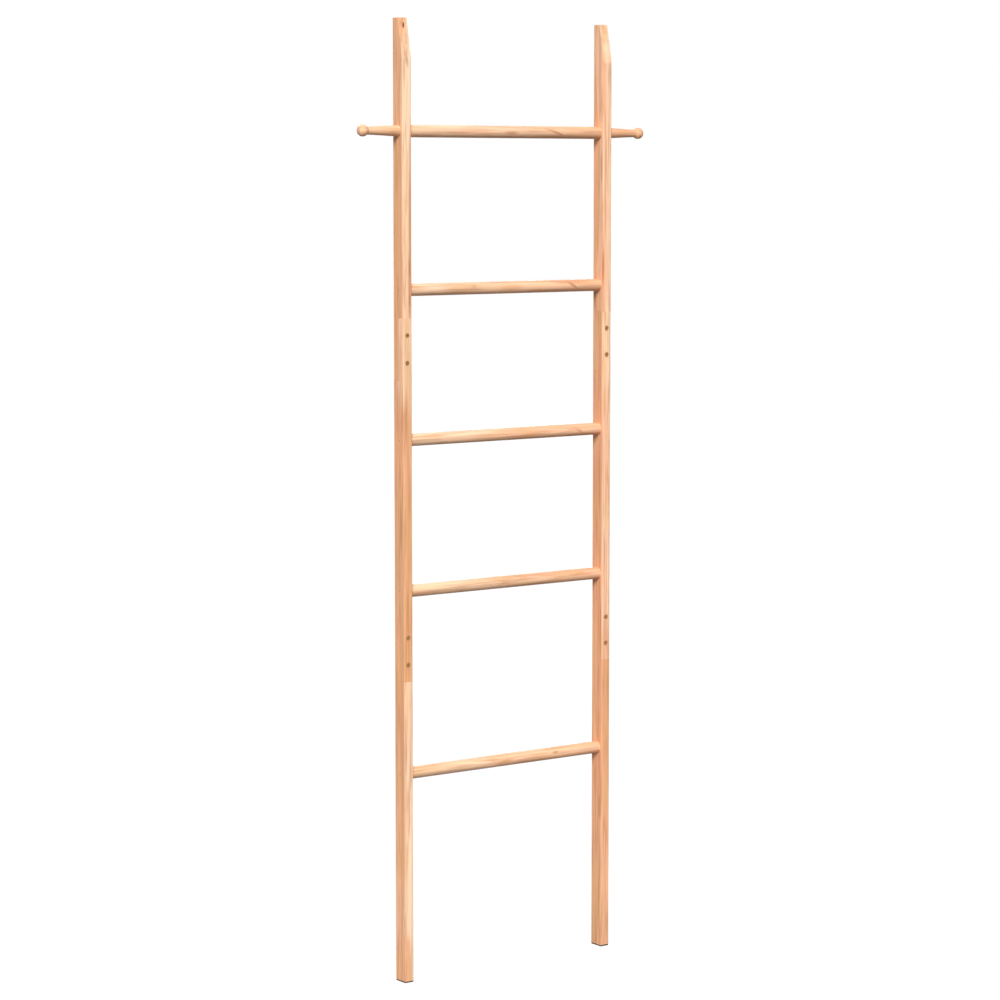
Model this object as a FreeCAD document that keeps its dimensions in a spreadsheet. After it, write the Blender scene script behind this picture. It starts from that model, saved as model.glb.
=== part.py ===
"""Blanket ladder: two spliced rails, five round rungs, two turned pegs, screws, nails and foot pads.

Millimetres, +Z up. The origin lies on the floor, midway between the rails and at the middle of their depth.
+X runs along the rungs and -Y is the face with the splice screws and the long cut at the rail heads.
"""

import FreeCAD, Part

import os

import Sketcher
from FreeCAD import Placement, Rotation, Vector

# Driving dimensions: alias, value in millimetres, and what it measures.
SIZES = (
    ("inner_width", 460.0, "clear width between the rails"),
    ("rail_width", 20.0, "width of a rail, across the ladder"),
    ("rail_depth", 32.0, "depth of a rail, front to rear"),
    ("edge_round", 1.5, "radius of the eased long edges of a rail"),
    ("lower_length", 704.5, "length of a rail's lower piece"),
    ("middle_length", 697.0, "length of a rail's middle piece"),
    ("upper_length", 682.0, "length of a rail's upper piece"),
    ("lap_length", 118.0, "length of a half-lap splice"),
    ("head_cut_length", 75.0, "height of the long cut at a rail's head"),
    ("head_cut_depth", 14.5, "depth of the long cut at the top"),
    ("pad_thickness", 2.5, "thickness of a foot pad"),
    ("rung_diameter", 24.0, "diameter of a rung"),
    ("socket_depth", 10.0, "depth of a rung's socket in the rail"),
    ("top_rung_drop", 211.5, "axis of the top rung below the rail heads"),
    ("second_rung_rise", 53.0, "axis of the second rung above the upper splice"),
    ("third_rung_drop", 115.0, "axis of the third rung below the upper splice"),
    ("fourth_rung_rise", 55.5, "axis of the fourth rung above the lower splice"),
    ("bottom_rung_drop", 180.5, "axis of the bottom rung below the lower splice"),
    ("peg_reach", 79.0, "rail's outer face to the centre of the peg's ball"),
    ("peg_base_diameter", 21.4, "peg at the rail"),
    ("peg_neck_diameter", 15.4, "peg where it meets the ball"),
    ("peg_ball_diameter", 22.4, "ball at the peg's end"),
    ("tenon_diameter", 12.0, "peg's tenon, through the rail into the top rung"),
    ("tenon_bite", 15.0, "length of the tenon inside the top rung"),
    ("screw_head_diameter", 9.0, "countersunk head of a splice screw"),
    ("screw_shank_diameter", 4.5, "shank of a splice screw"),
    ("screw_length", 28.0, "overall length of a splice screw"),
    ("screw_tip_length", 5.0, "pointed end of a splice screw"),
    ("screw_sink", 0.3, "head of a splice screw below the wood"),
    ("screw_spacing", 52.5, "distance between the two screws of a splice"),
    ("recess_arm", 2.4, "half the span of the cross recess"),
    ("recess_slot", 0.6, "half the width of the cross recess"),
    ("recess_depth", 1.8, "depth of the cross recess"),
    ("nail_head_diameter", 3.6, "head of a rung nail"),
    ("nail_head_thickness", 0.8, "thickness of a rung nail's head"),
    ("nail_shank_diameter", 2.0, "shank of a rung nail"),
    ("nail_length", 40.0, "overall length of a rung nail"),
    ("nail_tip_length", 4.0, "pointed end of a rung nail"),
    ("nail_sink", 0.4, "head of a rung nail below the wood"),
    ("fit_gap", 0.1, "gap round a rung, tenon, screw or nail in its hole"),
)

# Heights at which the rail pieces begin, in the order lower, middle, upper.
LOWER_BASE = "Sizes.pad_thickness"
MIDDLE_BASE = f"{LOWER_BASE} + Sizes.lower_length - Sizes.lap_length"
UPPER_BASE = f"{MIDDLE_BASE} + Sizes.middle_length - Sizes.lap_length"
RAIL_BASES = {"lower": LOWER_BASE, "middle": MIDDLE_BASE, "upper": UPPER_BASE}
RAIL_LENGTHS = {name: f"Sizes.{name}_length" for name in RAIL_BASES}

# The height of each rung's axis, from the rail heads or the nearest splice, and the piece that carries it.
RUNG_HEIGHTS = {
    "top": f"{UPPER_BASE} + Sizes.upper_length - Sizes.top_rung_drop",
    "second": f"{UPPER_BASE} + Sizes.lap_length + Sizes.second_rung_rise",
    "third": f"{UPPER_BASE} - Sizes.third_rung_drop",
    "fourth": f"{MIDDLE_BASE} + Sizes.lap_length + Sizes.fourth_rung_rise",
    "bottom": f"{MIDDLE_BASE} - Sizes.bottom_rung_drop",
}
RUNGS_IN_PIECE = {"lower": ("bottom",), "middle": ("third", "fourth"), "upper": ("top", "second")}
PEGGED_RUNG = "top"
NAILED_RUNGS = ("second", "third", "fourth", "bottom")

# The side of the ladder, as the sign of X.
SIDES = {"left": -1, "right": 1}

HALF_WIDTH = "Sizes.rail_width / 2"
HALF_DEPTH = "Sizes.rail_depth / 2"
HALF_LAP = "Sizes.lap_length / 2"
HALF_SPACING = "Sizes.screw_spacing / 2"
SOCKET_RADIUS = "(Sizes.rung_diameter / 2 + Sizes.fit_gap)"
TENON_HOLE_RADIUS = "(Sizes.tenon_diameter / 2 + Sizes.fit_gap)"
OUTER_FACE = "(Sizes.inner_width / 2 + Sizes.rail_width)"
RAIL_CENTRE = "(Sizes.inner_width / 2 + Sizes.rail_width / 2)"
RUNG_END = "(Sizes.inner_width / 2 + Sizes.socket_depth)"
RUNG_LENGTH = "(Sizes.inner_width + 2 * Sizes.socket_depth)"
WEB = "(Sizes.rail_width - Sizes.socket_depth)"

# Sketcher's own numbers for a curve's start, end and centre, for a sketch's axes and for its origin.
START, END, CENTRE = range(1, 4)
AXES = dict(zip("xy", range(-1, -3, -1)))
ORIGIN = (AXES["x"], START)

# Turns in degrees about an axis.
UP = Vector(0, 0, 1)
QUARTER_TURN = Rotation(UP, 90)
HALF_TURN = Rotation(UP, 180)
FACE_DOWN = Rotation(Vector(0, 1, 0), 180)
SMALL = 1.0e-6


def fill_sheet(document):
    """Write the driving dimensions into the document's sheet."""
    sheet = document.addObject("Spreadsheet::Sheet", "Sizes")
    for row, (alias, value, meaning) in enumerate(SIZES, start=1):
        sheet.set(f"A{row}", meaning)
        sheet.set(f"B{row}", str(value))
        sheet.setAlias(f"B{row}", alias)
    document.recompute()
    return sheet


def value_of(feature, expression):
    """The present value of an expression on the sheet."""
    return float(feature.evalExpression(expression))


def new_body(document, name):
    """An empty body whose name is also its label."""
    body = document.addObject("PartDesign::Body", name)
    body.Label = name
    return body


def origin_plane(body, role):
    """One of the body's own origin planes."""
    return next(feature for feature in body.Origin.OriginFeatures if feature.Role == role)


def new_sketch(body, name, role, shift=("0", "0", "0"), turned=False):
    """A sketch on an origin plane, shifted in its own axes, and turned half round its own Y if asked."""
    sketch = body.newObject("Sketcher::SketchObject", f"{body.Name}_{name}")
    sketch.AttachmentSupport = [(origin_plane(body, role), "")]
    sketch.MapMode = "FlatFace"
    start = Vector(*(value_of(sketch, expression) for expression in shift))
    sketch.AttachmentOffset = Placement(start, FACE_DOWN if turned else Rotation())
    for axis, expression in zip("xyz", shift):
        if expression != "0":
            sketch.setExpression(f"AttachmentOffset.Base.{axis}", expression)
    return sketch


def pin_point(sketch, geometry, position, x, y):
    """Fix one point of a sketch at a pair of expressions measured from the sketch's origin."""
    for kind, expression, zero_line in (("DistanceX", x, "y"), ("DistanceY", y, "x")):
        if expression == "0":
            sketch.addConstraint(Sketcher.Constraint("PointOnObject", geometry, position, AXES[zero_line]))
            continue
        value = value_of(sketch, expression)
        index = sketch.addConstraint(Sketcher.Constraint(kind, *ORIGIN, geometry, position, value))
        sketch.setExpression(f"Constraints[{index}]", expression)


def draw_polygon(sketch, corners):
    """A closed outline through corners given as pairs of expressions."""
    points = [Vector(value_of(sketch, x), value_of(sketch, y), 0) for x, y in corners]
    lines = []
    for number, start in enumerate(points):
        finish = points[(number + 1) % len(points)]
        lines.append(sketch.addGeometry(Part.LineSegment(start, finish), False))
    for number, line in enumerate(lines):
        following = lines[(number + 1) % len(lines)]
        sketch.addConstraint(Sketcher.Constraint("Coincident", line, END, following, START))
    for line, (x, y) in zip(lines, corners):
        pin_point(sketch, line, START, x, y)
    return lines


def draw_rectangle(sketch, low, high):
    """A rectangle between two opposite corners."""
    return draw_polygon(sketch, (low, (high[0], low[1]), high, (low[0], high[1])))


def draw_circle(sketch, radius, x="0", y="0"):
    """A circle of a given radius about a point."""
    centre = Vector(value_of(sketch, x), value_of(sketch, y), 0)
    size = value_of(sketch, radius)
    circle = sketch.addGeometry(Part.Circle(centre, UP, size), False)
    pin_point(sketch, circle, CENTRE, x, y)
    index = sketch.addConstraint(Sketcher.Constraint("Radius", circle, size))
    sketch.setExpression(f"Constraints[{index}]", radius)


def pad(body, sketch, length, centred=False):
    """Pull a sketch into a solid."""
    feature = body.newObject("PartDesign::Pad", f"{sketch.Name}_pad")
    feature.Profile = sketch
    feature.SideType = "Symmetric" if centred else "One side"
    feature.setExpression("Length", length)
    body.Document.recompute()
    return feature


def checked_cut(body, feature, before):
    """Recompute a cut and make sure that it took something away."""
    body.Document.recompute()
    if feature.Shape.isNull() or feature.Shape.Volume > before - SMALL:
        raise RuntimeError(f"{feature.Name} cuts nothing")
    return feature


def cut_through(body, sketch):
    """Cut a sketch right through the solid, both ways from its plane."""
    before = body.Shape.Volume
    feature = body.newObject("PartDesign::Pocket", f"{sketch.Name}_cut")
    feature.Profile = sketch
    feature.Type = "ThroughAll"
    feature.SideType = "Symmetric"
    return checked_cut(body, feature, before)


def cut_blind(body, sketch, depth, along_normal):
    """Cut a sketch to a depth, along its plane's normal or against it."""
    before = body.Shape.Volume
    feature = body.newObject("PartDesign::Pocket", f"{sketch.Name}_cut")
    feature.Profile = sketch
    feature.Reversed = along_normal
    feature.setExpression("Length", depth)
    return checked_cut(body, feature, before)


def turn(body, sketch):
    """Revolve a sketch about its own horizontal axis."""
    feature = body.newObject("PartDesign::Revolution", f"{sketch.Name}_turned")
    feature.Profile = sketch
    feature.ReferenceAxis = (sketch, ["H_Axis"])
    body.Document.recompute()
    return feature


def bore_turned(body, sketch):
    """Cut the revolved shape of a sketch about its own horizontal axis."""
    before = body.Shape.Volume
    feature = body.newObject("PartDesign::Groove", f"{sketch.Name}_bore")
    feature.Profile = sketch
    feature.ReferenceAxis = (sketch, ["H_Axis"])
    return checked_cut(body, feature, before)


def place(feature, x="0", y="0", z="0", rotation=None):
    """Set a feature's placement from expressions, with an optional fixed rotation."""
    base = Vector(*(value_of(feature, expression) for expression in (x, y, z)))
    feature.Placement = Placement(base, rotation or Rotation())
    for axis, expression in (("x", x), ("y", y), ("z", z)):
        feature.setExpression(f"Placement.Base.{axis}", expression)


def screw_outline(sketch, gap="0", sink="0"):
    """Half section of a countersunk screw from its head along +X, widened and led in for its hole."""
    head = f"Sizes.screw_head_diameter / 2 + {gap}"
    shank = f"Sizes.screw_shank_diameter / 2 + {gap}"
    cone = "(Sizes.screw_head_diameter - Sizes.screw_shank_diameter) / 2"
    tip = "Sizes.screw_length - Sizes.screw_tip_length"
    corners = [("0", head), (cone, shank), (tip, shank), ("Sizes.screw_length", "0")]
    lead = [("0", "0")] if sink == "0" else [(f"-{sink}", "0"), (f"-{sink}", head)]
    draw_polygon(sketch, lead + corners)


def nail_outline(sketch, gap="0", sink="0"):
    """Half section of a flat-headed nail from its head along +X, widened and led in for its hole."""
    head = f"Sizes.nail_head_diameter / 2 + {gap}"
    shank = f"Sizes.nail_shank_diameter / 2 + {gap}"
    under_head = "Sizes.nail_head_thickness"
    tip = "Sizes.nail_length - Sizes.nail_tip_length"
    corners = [(under_head, head), (under_head, shank), (tip, shank), ("Sizes.nail_length", "0")]
    lead = [("0", "0"), ("0", head)] if sink == "0" else [(f"-{sink}", "0"), (f"-{sink}", head)]
    draw_polygon(sketch, lead + corners)


def cut_lap(body, name, face_sign, low, high):
    """Take away the half of a rail piece's depth on one face, between two heights."""
    sketch = new_sketch(body, name, "YZ_Plane")
    draw_rectangle(sketch, ("0", low), (f"{face_sign} * Sizes.rail_depth", high))
    return cut_through(body, sketch)


def bore_splice_screws(body, name, centre):
    """Bore the two screw holes of a splice, from the front face."""
    for number, way in enumerate(("-", "+"), start=1):
        height = f"{centre} {way} {HALF_SPACING}"
        shift = (f"-{HALF_DEPTH} + Sizes.screw_sink", height, "0")
        sketch = new_sketch(body, f"{name}_screw_{number}", "YZ_Plane", shift)
        screw_outline(sketch, "Sizes.fit_gap", "Sizes.screw_sink")
        bore_turned(body, sketch)


def cut_head(body):
    """Cut the front of a rail's head back in a long straight taper."""
    sketch = new_sketch(body, "head", "YZ_Plane")
    foot = (f"-{HALF_DEPTH}", "Sizes.upper_length - Sizes.head_cut_length")
    inner = (f"-{HALF_DEPTH} + Sizes.head_cut_depth", "Sizes.upper_length")
    outer = (f"-{HALF_DEPTH} - Sizes.head_cut_depth", "Sizes.upper_length")
    draw_polygon(sketch, (foot, inner, outer))
    return cut_through(body, sketch)


def bore_rung_seat(body, piece, side, rung):
    """Sink a rung's socket in the inner face, and bore for the nail or peg tenon that holds the rung."""
    sign = SIDES[side]
    height = f"{RUNG_HEIGHTS[rung]} - ({RAIL_BASES[piece]})"
    socket = new_sketch(body, f"socket_{rung}", "YZ_Plane", ("0", "0", f"{-sign} * {HALF_WIDTH}"))
    draw_circle(socket, SOCKET_RADIUS, "0", height)
    cut_blind(body, socket, "Sizes.socket_depth", along_normal=sign > 0)
    if rung == PEGGED_RUNG:
        tenon_hole = new_sketch(body, f"tenon_{rung}", "YZ_Plane")
        draw_circle(tenon_hole, TENON_HOLE_RADIUS, "0", height)
        cut_through(body, tenon_hole)
        return
    shift = (f"{sign} * ({HALF_WIDTH} - Sizes.nail_sink)", height, "0")
    nail_hole = new_sketch(body, f"nail_{rung}", "XZ_Plane", shift, turned=sign > 0)
    nail_outline(nail_hole, "Sizes.fit_gap", "Sizes.nail_sink")
    bore_turned(body, nail_hole)


def rail_blank(document, side, piece):
    """A straight length of rail timber with eased long edges, standing on its lower end."""
    body = new_body(document, f"rail_{side}_{piece}")
    section = new_sketch(body, "section", "XY_Plane")
    draw_rectangle(section, (f"-{HALF_WIDTH}", f"-{HALF_DEPTH}"), (HALF_WIDTH, HALF_DEPTH))
    blank = pad(body, section, RAIL_LENGTHS[piece])
    upright = [f"Edge{number}" for number, edge in enumerate(blank.Shape.Edges, start=1)
               if edge.tangentAt(edge.FirstParameter).cross(UP).Length < SMALL]
    easing = body.newObject("PartDesign::Fillet", f"{body.Name}_easing")
    easing.Base = (blank, upright)
    easing.setExpression("Radius", "Sizes.edge_round")
    document.recompute()
    return body


def make_rail_piece(document, side, piece):
    """One length of a rail: the front half of the middle piece laps over the other two."""
    body = rail_blank(document, side, piece)
    length = RAIL_LENGTHS[piece]
    below_top = f"{length} - Sizes.lap_length"
    if piece == "lower":
        cut_lap(body, "top_lap", -1, below_top, length)
        bore_splice_screws(body, "top_lap", f"{length} - {HALF_LAP}")
    if piece == "middle":
        cut_lap(body, "bottom_lap", 1, "0", "Sizes.lap_length")
        cut_lap(body, "top_lap", 1, below_top, length)
        bore_splice_screws(body, "bottom_lap", HALF_LAP)
        bore_splice_screws(body, "top_lap", f"{length} - {HALF_LAP}")
    if piece == "upper":
        cut_lap(body, "bottom_lap", -1, "0", "Sizes.lap_length")
        bore_splice_screws(body, "bottom_lap", HALF_LAP)
        cut_head(body)
    for rung in RUNGS_IN_PIECE[piece]:
        bore_rung_seat(body, piece, side, rung)
    place(body, x=f"{SIDES[side]} * {RAIL_CENTRE}", z=RAIL_BASES[piece])
    return body


def make_rung(document, rung):
    """A plain round rung, bored at both ends for what holds it in its sockets."""
    body = new_body(document, f"rung_{rung}")
    section = new_sketch(body, "section", "YZ_Plane")
    draw_circle(section, "Sizes.rung_diameter / 2")
    pad(body, section, RUNG_LENGTH, centred=True)
    for side, sign in SIDES.items():
        if rung == PEGGED_RUNG:
            bore = new_sketch(body, f"{side}_bore", "YZ_Plane", ("0", "0", f"{sign} * {RUNG_END}"))
            draw_circle(bore, TENON_HOLE_RADIUS)
            cut_blind(body, bore, "Sizes.tenon_bite", along_normal=sign < 0)
            continue
        shift = (f"{sign} * ({OUTER_FACE} - Sizes.nail_sink)", "0", "0")
        bore = new_sketch(body, f"{side}_bore", "XZ_Plane", shift, turned=sign > 0)
        nail_outline(bore, "Sizes.fit_gap")
        bore_turned(body, bore)
    place(body, z=RUNG_HEIGHTS[rung])
    return body


def draw_peg_outline(sketch):
    """Half section of a peg along +X: tenon, shoulder at the rail, long taper, and a ball on its neck."""
    tenon_start = f"-({WEB} + Sizes.tenon_bite)"
    tenon = "Sizes.tenon_diameter / 2"
    neck = "Sizes.peg_neck_diameter / 2"
    ball = "Sizes.peg_ball_diameter / 2"
    neck_end = f"Sizes.peg_reach - sqrt(({ball}) ^ 2 - ({neck}) ^ 2)"
    tip = f"Sizes.peg_reach + {ball}"
    corners = [(tenon_start, "0"), (tenon_start, tenon), ("0", tenon), ("0", "Sizes.peg_base_diameter / 2"),
               (neck_end, neck), (tip, "0")]
    points = [Vector(value_of(sketch, x), value_of(sketch, y), 0) for x, y in corners]
    edges = [sketch.addGeometry(Part.LineSegment(*pair), False) for pair in zip(points[:4], points[1:5])]
    centre = Vector(value_of(sketch, "Sizes.peg_reach"), 0, 0)
    crown = centre + Vector(0, value_of(sketch, ball), 0)
    arc = sketch.addGeometry(Part.Arc(points[4], crown, points[5]), False)
    axis = sketch.addGeometry(Part.LineSegment(points[5], points[0]), False)
    for first, second in zip(edges, edges[1:]):
        sketch.addConstraint(Sketcher.Constraint("Coincident", first, END, second, START))
    sketch.addConstraint(Sketcher.Constraint("Coincident", axis, END, edges[0], START))
    for edge, (x, y) in zip(edges, corners):
        pin_point(sketch, edge, START, x, y)
    pin_point(sketch, edges[-1], END, *corners[4])
    # The arc runs from its tip on the axis back to the neck, because arcs are stored anticlockwise.
    sketch.addConstraint(Sketcher.Constraint("Coincident", arc, END, edges[-1], END))
    sketch.addConstraint(Sketcher.Constraint("Coincident", arc, START, axis, START))
    pin_point(sketch, arc, CENTRE, "Sizes.peg_reach", "0")
    sketch.addConstraint(Sketcher.Constraint("PointOnObject", axis, START, AXES["x"]))


def make_peg(document, side):
    """A turned peg whose tenon passes through the rail into the top rung."""
    body = new_body(document, f"peg_{side}")
    outline = new_sketch(body, "outline", "XY_Plane")
    draw_peg_outline(outline)
    turn(body, outline)
    sign = SIDES[side]
    place(body, x=f"{sign} * {OUTER_FACE}", z=RUNG_HEIGHTS[PEGGED_RUNG],
          rotation=HALF_TURN if sign < 0 else Rotation())
    return body


def make_screw(document, name):
    """A countersunk splice screw along +X with a cross recess in its head."""
    body = new_body(document, name)
    outline = new_sketch(body, "outline", "XY_Plane")
    screw_outline(outline)
    turn(body, outline)
    recess = new_sketch(body, "recess", "YZ_Plane")
    arm = "Sizes.recess_arm"
    slot = "Sizes.recess_slot"
    cross = ((slot, slot), (slot, arm), (f"-{slot}", arm), (f"-{slot}", slot), (f"-{arm}", slot),
             (f"-{arm}", f"-{slot}"), (f"-{slot}", f"-{slot}"), (f"-{slot}", f"-{arm}"),
             (slot, f"-{arm}"), (slot, f"-{slot}"), (arm, f"-{slot}"), (arm, slot))
    draw_polygon(recess, cross)
    cut_blind(body, recess, "Sizes.recess_depth", along_normal=True)
    return body


def make_nail(document, name):
    """A flat-headed rung nail along +X."""
    body = new_body(document, name)
    outline = new_sketch(body, "outline", "XY_Plane")
    nail_outline(outline)
    turn(body, outline)
    return body


def make_group(document, name, members):
    """Several separate solids of one kind under one name."""
    group = document.addObject("Part::Compound", name)
    group.Label = name
    group.Links = members
    document.recompute()
    return group


def make_splice_screws(document, side, splice, centre):
    """The two screws of one splice, driven from the front."""
    members = []
    for number, way in enumerate(("-", "+"), start=1):
        screw = make_screw(document, f"screw_{side}_{splice}_{number}")
        place(screw, x=f"{SIDES[side]} * {RAIL_CENTRE}", y=f"-{HALF_DEPTH} + Sizes.screw_sink",
              z=f"{centre} {way} {HALF_SPACING}", rotation=QUARTER_TURN)
        members.append(screw)
    return make_group(document, f"splice_screws_{side}_{splice}", members)


def make_rung_nails(document, side):
    """The nails of one side, each through the rail into the end of its rung."""
    sign = SIDES[side]
    members = []
    for rung in NAILED_RUNGS:
        nail = make_nail(document, f"nail_{side}_{rung}")
        place(nail, x=f"{sign} * ({OUTER_FACE} - Sizes.nail_sink)", z=RUNG_HEIGHTS[rung],
              rotation=HALF_TURN if sign > 0 else Rotation())
        members.append(nail)
    return make_group(document, f"rung_nails_{side}", members)


def make_foot_pad(document, side):
    """A thin pad under a rail, flush with its sides."""
    body = new_body(document, f"foot_pad_{side}")
    section = new_sketch(body, "section", "XY_Plane")
    draw_rectangle(section, (f"-{HALF_WIDTH}", f"-{HALF_DEPTH}"), (HALF_WIDTH, HALF_DEPTH))
    pad(body, section, "Sizes.pad_thickness")
    place(body, x=f"{SIDES[side]} * {RAIL_CENTRE}")
    return body


def make_ladder(document):
    """Every piece of the ladder, each with the number of separate solids that it must hold."""
    splices = {"lower": f"{MIDDLE_BASE} + {HALF_LAP}", "upper": f"{UPPER_BASE} + {HALF_LAP}"}
    pieces = []
    for side in SIDES:
        pieces += [(make_rail_piece(document, side, piece), 1) for piece in RAIL_BASES]
        pieces += [(make_splice_screws(document, side, name, centre), 2) for name, centre in splices.items()]
        pieces.append((make_rung_nails(document, side), len(NAILED_RUNGS)))
        pieces.append((make_peg(document, side), 1))
        pieces.append((make_foot_pad(document, side), 1))
    pieces += [(make_rung(document, rung), 1) for rung in RUNG_HEIGHTS]
    return pieces


def check_document(document, pieces):
    """Stop if an object failed or a piece isn't sound."""
    for feature in document.Objects:
        if "Invalid" in feature.State or "Error" in feature.State:
            raise RuntimeError(f"{feature.Label} failed: {feature.State}")
    for piece, solids in pieces:
        if piece.Shape.isNull() or not piece.Shape.isValid():
            raise RuntimeError(f"{piece.Label} has no sound shape")
        if len(piece.Shape.Solids) != solids:
            raise RuntimeError(f"{piece.Label} has {len(piece.Shape.Solids)} solids, not {solids}")


def main():
    """Build the document, check it and write one file for each piece."""
    document = FreeCAD.newDocument("blanket_ladder")
    fill_sheet(document)
    pieces = make_ladder(document)
    document.recompute()
    check_document(document, pieces)
    os.makedirs("parts", exist_ok=True)
    for piece, _ in pieces:
        piece.Shape.exportStep(os.path.join("parts", f"{piece.Label}.step"))
        print(f"{piece.Label}: {piece.Shape.Volume / 1000.0:.2f} cm3")


main()
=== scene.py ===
"""Looks of the blanket ladder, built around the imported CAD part.

Metres, +Z up, in the frame of the CAD part: the origin lies on the floor, midway between the rails and at
the middle of their depth, +X runs along the rungs and -Y is the face with the splice screws. What concerns
the wood's figure is in millimetres.
"""

from __future__ import annotations

import logging
import math
from dataclasses import dataclass, replace
from enum import Enum
from functools import cached_property

import bmesh
import bpy
import numpy as np
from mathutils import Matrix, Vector


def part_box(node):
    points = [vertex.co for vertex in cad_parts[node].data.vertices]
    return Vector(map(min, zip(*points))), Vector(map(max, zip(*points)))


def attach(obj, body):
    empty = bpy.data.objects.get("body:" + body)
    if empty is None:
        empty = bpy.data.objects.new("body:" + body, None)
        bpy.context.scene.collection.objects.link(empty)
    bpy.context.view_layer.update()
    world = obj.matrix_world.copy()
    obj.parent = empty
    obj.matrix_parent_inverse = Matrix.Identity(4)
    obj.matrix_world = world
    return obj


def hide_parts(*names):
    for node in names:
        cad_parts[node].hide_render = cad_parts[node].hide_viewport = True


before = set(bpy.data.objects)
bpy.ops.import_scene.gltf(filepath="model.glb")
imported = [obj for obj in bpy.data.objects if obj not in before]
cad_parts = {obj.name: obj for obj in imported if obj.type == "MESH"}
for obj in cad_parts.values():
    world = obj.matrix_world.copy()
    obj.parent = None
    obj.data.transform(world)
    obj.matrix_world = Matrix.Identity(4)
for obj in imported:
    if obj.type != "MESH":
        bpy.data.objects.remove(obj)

logging.basicConfig(level=logging.INFO, format="%(message)s")
LOG = logging.getLogger("ladder")

MM = 0.001
BODY = "root"
WHITE = (1.0, 1.0, 1.0, 1.0)
CREASE = math.radians(32.0)
JOIN = 0.002 * MM
TURN = 2.0 * math.pi
SEED_STEP = (7.31, 3.17, 5.83)
BROAD_LEAST = 5.0
BROAD_MOST = 35.0

Pair = tuple[float, float]
Triple = tuple[float, float, float]
Skin = tuple[np.ndarray, np.ndarray]


class Side(Enum):
    """The two sides of the ladder, as the sign of X."""

    LEFT = -1
    RIGHT = 1

    @property
    def word(self) -> str:
        """The side's name as the CAD nodes spell it."""
        return self.name.lower()

    def outer(self, node: str) -> float:
        """X of a node's end that points away from the ladder's middle."""
        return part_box(node)[0 if self is Side.LEFT else 1].x


class Length(Enum):
    """The three lengths of timber that make a rail, from the floor up."""

    LOWER = "lower"
    MIDDLE = "middle"
    UPPER = "upper"


SPLICED = (Length.LOWER, Length.UPPER)


class Fibre(Enum):
    """Which way a piece's fibres run, as the shares of X, Y and Z that cross them."""

    UP = (1.0, 1.0, 0.0)
    ALONG_RUNG = (0.0, 1.0, 1.0)


class Fixing(Enum):
    """What holds a rung's ends in the rails."""

    NAIL = "nail"
    PEG = "peg"


def colour(code: str) -> tuple[float, float, float, float]:
    """A linear colour from six hexadecimal digits, by the curve of sRGB.

    Args:
        code: red, green and blue, two digits each.

    Returns:
        Linear red, green, blue and an alpha of 1.
    """
    shares = [int(code[place:place + 2], 16) / 255.0 for place in (0, 2, 4)]
    linear = [share / 12.92 if share <= 0.04045 else ((share + 0.055) / 1.055) ** 2.4 for share in shares]
    return (*linear, 1.0)


# ---- Materials --------------------------------------------------------------------------------------------


class Field:
    """A value that varies over a surface: a node's output with Python arithmetic that adds Math nodes."""

    OPERANDS = ("Value", "Value_001", "Value_002")

    def __init__(self, recipe: Recipe, socket: bpy.types.NodeSocket) -> None:
        """Wrap an output socket of a recipe's node."""
        self.recipe = recipe
        self.socket = socket

    def math(self, operation: str, *values: Field | float) -> Field:
        """Add a Math node on some values, in the node's order."""
        return self.recipe.add("ShaderNodeMath", {"operation": operation}, dict(zip(self.OPERANDS, values)))

    def __add__(self, other: Field | float) -> Field:
        """The sum."""
        return self.math("ADD", self, other)

    __radd__ = __add__

    def __sub__(self, other: Field | float) -> Field:
        """The difference."""
        return self.math("SUBTRACT", self, other)

    def __rsub__(self, other: Field | float) -> Field:
        """The difference with the field on the right."""
        return self.math("SUBTRACT", other, self)

    def __mul__(self, other: Field | float) -> Field:
        """The product."""
        return self.math("MULTIPLY", self, other)

    __rmul__ = __mul__

    def __truediv__(self, other: Field | float) -> Field:
        """The quotient."""
        return self.math("DIVIDE", self, other)

    def fraction(self) -> Field:
        """What is left after the whole part."""
        return self.math("FRACT", self)

    def size(self) -> Field:
        """The value without its sign."""
        return self.math("ABSOLUTE", self)

    def larger(self, other: Field | float) -> Field:
        """The larger of two values."""
        return self.math("MAXIMUM", self, other)

    def ramp(self, low: float, high: float) -> Field:
        """A smooth rise from 0 to 1 between two values.

        Args:
            low: the value that gives 0. Where it is above the other, the rise is a fall.
            high: the value that gives 1.

        Returns:
            The ramp's height.
        """
        if low > high:
            return 1.0 - self.ramp(high, low)
        return self.recipe.add("ShaderNodeMapRange", {"interpolation_type": "SMOOTHSTEP"},
                               {"Value": self, "From Min": low, "From Max": high}, "Result")


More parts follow.
